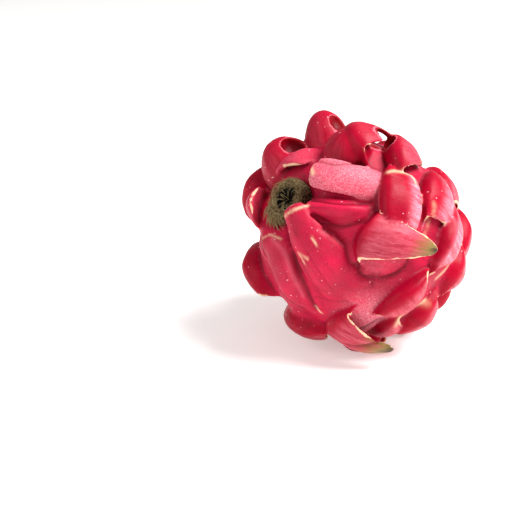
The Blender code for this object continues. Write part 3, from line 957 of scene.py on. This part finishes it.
def flower_material(settings):
    """Withered petals and stamens: dry, dull olive-brown fibre, with painted shade that darkens the ring
    under the fibres and turns nearly black down in the cup.
    """
    material, tree, shader = new_material("withered_flower_fibre")
    where = add(tree, "TexCoord", output="Object")
    pale = add(tree, "Attribute", output="Fac", attribute_name="pale")
    recess_shade = add(tree, "Attribute", output="Fac", attribute_name="recess_shade")
    fibre = add(tree, "TexNoise", {"Vector": where, "Scale": 1 / FIBRE_SIZE, "Detail": 3.0})
    tone = add(tree, "Math", {0: pale, 1: fibre}, operation="MULTIPLY")
    lit = add(tree, "MapRange", {"Value": tone, "From Max": 0.55})
    colour = add(tree, "Mix", {0: lit, 6: settings.olive, 7: settings.straw}, 2, data_type="RGBA")
    # Painted shade over the ring under the fibres and in the cup.
    colour = add(tree, "Mix", {0: recess_shade, 6: colour, 7: settings.dark}, 2, data_type="RGBA")
    tree.links.new(colour, shader.inputs["Base Color"])
    bump = add(tree, "Bump", {"Height": fibre, "Strength": 0.8, "Distance": 0.5 * MM})
    tree.links.new(bump, shader.inputs["Normal"])
    shader.inputs["Roughness"].default_value = 0.85
    shader.inputs["Specular IOR Level"].default_value = 0.25
    return material


class FRUIT_OT_flower(Operator):
    """Builds the withered flower in the navel"""

    bl_idname = "fruit.flower"
    bl_label = "Withered flower"

    def execute(self, context):
        settings = context.scene.fruit_flower
        ring, points, angle, along, middle = turned(
            "withered_flower", FLOWER_PROFILE, NAVEL_WAY, RING_FACES, 0.06
        )
        places = np.column_stack([8 * np.cos(angle), 8 * np.sin(angle), 3 * along])
        shreds = np.array([noise.noise(Vector(p)) for p in places])
        out = smooth_step(4, 7, middle[:, 0])
        points = points + (0.9 * MM * shreds * out)[:, None] * NAVEL_WAY
        place_points(ring, points + MIDDLE)
        set_attribute(ring, "pale", np.zeros(len(points)))
        # Painted shade: the ring under the fibres is darkened partway, and the cup down to nearly black.
        cup = smooth_step(0.58, 0.7, along)
        set_attribute(ring, "recess_shade", np.clip(0.6 + cup, 0, 1))
        count, thickness = settings.strands, settings.thickness
        fibres = [
            add_fibres("dark_fibres", ring_fibre, count // 3, thickness, 0.1, 1),
            add_fibres("olive_fibres", ring_fibre, count // 3, thickness, 0.5, 2),
            add_fibres("straw_fibres", ring_fibre, count // 4, 0.8 * thickness, 1.0, 3),
            add_fibres("cup_fibres", cup_fibre, count // 50, 0.8 * thickness, 1.0, 4),
            add_fibres("wall_fibres", wall_fibre, count // 4, thickness, 0.5, 7),
            add_fibres("dark_tuft", tuft_fibre, count // 12, thickness, 0.2, 5),
            add_fibres("straw_tuft", tuft_fibre, count // 12, 0.8 * thickness, 0.9, 6),
        ]
        face_outwards(ring)
        flower = join([ring, *fibres])
        finish_piece(flower, flower_material(settings), "dried_flower")
        return {"FINISHED"}


# Stem stub


def stub_material(settings):
    """Cut stem: dry and woody, green-brown with fine lengthwise ribs and a paler end."""
    material, tree, shader = new_material("dry_stem")
    where = add(tree, "TexCoord", output="Object")
    cut = add(tree, "Attribute", output="Fac", attribute_name="cut")
    tone = add(tree, "TexNoise", {"Vector": where, "Scale": 1 / WOOD_SIZE, "Detail": 4.0})
    mottled = add(tree, "Math", {0: cut, 1: tone}, operation="MULTIPLY")
    share = add(tree, "MapRange", {"Value": mottled, "From Min": 0.2, "From Max": 0.6})
    colour = add(tree, "Mix", {0: share, 6: settings.bark, 7: settings.cut}, 2, data_type="RGBA")
    tree.links.new(colour, shader.inputs["Base Color"])
    bump = add(tree, "Bump", {"Height": tone, "Strength": 0.7, "Distance": 0.4 * MM})
    tree.links.new(bump, shader.inputs["Normal"])
    shader.inputs["Roughness"].default_value = 0.8
    return material


class FRUIT_OT_stub(Operator):
    """Builds the stem's stub"""

    bl_idname = "fruit.stub"
    bl_label = "Stem stub"

    def execute(self, context):
        settings = context.scene.fruit_stub
        stub, points, angle, _, middle = turned("stem_stub_end", STUB_PROFILE, -NAVEL_WAY, STUB_FACES, 0.0)
        rib = 0.18 * np.sin(11 * angle) + 0.12 * np.sin(17 * angle + 2)
        points = points + (rib * MM * smooth_step(1, 3.5, middle[:, 0]))[:, None] * around(angle)
        place_points(stub, points + MIDDLE)
        face_outwards(stub)
        set_attribute(stub, "cut", smooth_step(3.6, 4.3, middle[:, 1]))
        finish_piece(stub, stub_material(settings), "stem_stub")
        return {"FINISHED"}


# Stage

# The photo's width in pixels, how much a pixel shows at the fruit, and how many pixels the fruit's middle
# stands right of the image's middle and above it.
PHOTO_WIDTH = 512
PIXEL = 0.49 * MM
PIXELS_RIGHT = 100
PIXELS_UP = 22
SENSOR_WIDTH = 36

FLOOR_SIZE = 40
FLOOR_GLOW = 0.42
SKY_STRENGTH = 0.36
# Each light's name, how far it stands right of the fruit's middle, above it and towards the camera, its
# diameter, in metres, and its power in watts.
LIGHTS = (
    ("key", 0.52, 0.65, 0.32, 0.6, 18),
    ("fill", -0.7, 0.25, 0.5, 0.7, 2.5),
)


def add_light(name, place, target, size, power):
    light = bpy.data.lights.new(name, "AREA")
    light.shape = "DISK"
    light.size = size
    light.energy = power
    obj = bpy.data.objects.new(name, light)
    bpy.context.scene.collection.objects.link(obj)
    obj.location = place
    obj.rotation_mode = "QUATERNION"
    obj.rotation_quaternion = (Vector(target) - Vector(place)).to_track_quat("-Z", "Y")


class FRUIT_OT_stage(Operator):
    """Adds the pale floor, the soft studio light and the camera"""

    bl_idname = "fruit.stage"
    bl_label = "Floor, light and camera"

    def execute(self, context):
        settings = context.scene.fruit_stage
        deselect()
        bpy.ops.mesh.primitive_plane_add(size=FLOOR_SIZE, location=(0, 0, 0))
        floor = context.object
        floor.name = "floor"
        # Matt paper: pale and without any shine, and a little bright by itself as under studio light.
        material, _, shader = new_material("matt_paper_floor")
        shader.inputs["Base Color"].default_value = settings.floor
        shader.inputs["Emission Color"].default_value = settings.floor
        shader.inputs["Emission Strength"].default_value = FLOOR_GLOW
        shader.inputs["Roughness"].default_value = 0.9
        floor.data.materials.append(material)

        middle = Vector(MIDDLE)
        a, e = settings.azimuth, settings.elevation
        back = Vector((math.sin(a) * math.cos(e), -math.cos(a) * math.cos(e), math.sin(e)))
        right = Vector((math.cos(a), math.sin(a), 0))
        up = back.cross(right)
        target = middle - right * PIXELS_RIGHT * PIXEL - up * PIXELS_UP * PIXEL
        eye = middle + back * settings.distance
        camera = bpy.data.objects.new("camera", bpy.data.cameras.new("camera"))
        context.scene.collection.objects.link(camera)
        camera.location = eye
        camera.rotation_mode = "QUATERNION"
        camera.rotation_quaternion = (target - eye).to_track_quat("-Z", "Y")
        camera.data.sensor_width = SENSOR_WIDTH
        camera.data.lens = settings.distance * SENSOR_WIDTH / (PHOTO_WIDTH * PIXEL)
        context.scene.camera = camera

        world = bpy.data.worlds.new("studio")
        context.scene.world = world
        world.use_nodes = True
        background = world.node_tree.nodes["Background"]
        background.inputs["Color"].default_value = (1, 1, 1, 1)
        background.inputs["Strength"].default_value = SKY_STRENGTH
        for name, aside, above, near, size, power in LIGHTS:
            add_light(name, middle + right * aside + up * above + back * near, middle, size, power)
        context.scene.view_settings.view_transform = "Standard"
        return {"FINISHED"}


class FRUIT_PT_panel(Panel):
    """Lists the fruit's pieces and their settings"""

    bl_idname = "FRUIT_PT_panel"
    bl_label = "Red Dragon Fruit"
    bl_space_type = "VIEW_3D"
    bl_region_type = "UI"
    bl_category = "Fruit"

    def draw(self, context):
        layout = self.layout
        for operator, group in PIECES:
            layout.operator(operator)
            settings = getattr(context.scene, group)
            for name in settings.__annotations__:
                layout.prop(settings, name)


PIECES = (
    ("fruit.skin", "fruit_skin"),
    ("fruit.flower", "fruit_flower"),
    ("fruit.stub", "fruit_stub"),
    ("fruit.stage", "fruit_stage"),
)
GROUPS = {
    "fruit_skin": FruitSkinSettings,
    "fruit_flower": FruitFlowerSettings,
    "fruit_stub": FruitStubSettings,
    "fruit_stage": FruitStageSettings,
}
CLASSES = (*GROUPS.values(), FRUIT_OT_skin, FRUIT_OT_flower, FRUIT_OT_stub, FRUIT_OT_stage, FRUIT_PT_panel)


def register():
    for kind in CLASSES:
        bpy.utils.register_class(kind)
    for name, kind in GROUPS.items():
        setattr(bpy.types.Scene, name, PointerProperty(type=kind))


def unregister():
    for name in GROUPS:
        delattr(bpy.types.Scene, name)
    for kind in reversed(CLASSES):
        bpy.utils.unregister_class(kind)


def main():
    register()
    bpy.ops.fruit.skin()
    bpy.ops.fruit.flower()
    bpy.ops.fruit.stub()
    bpy.ops.fruit.stage()


if __name__ == "__main__":
    main()
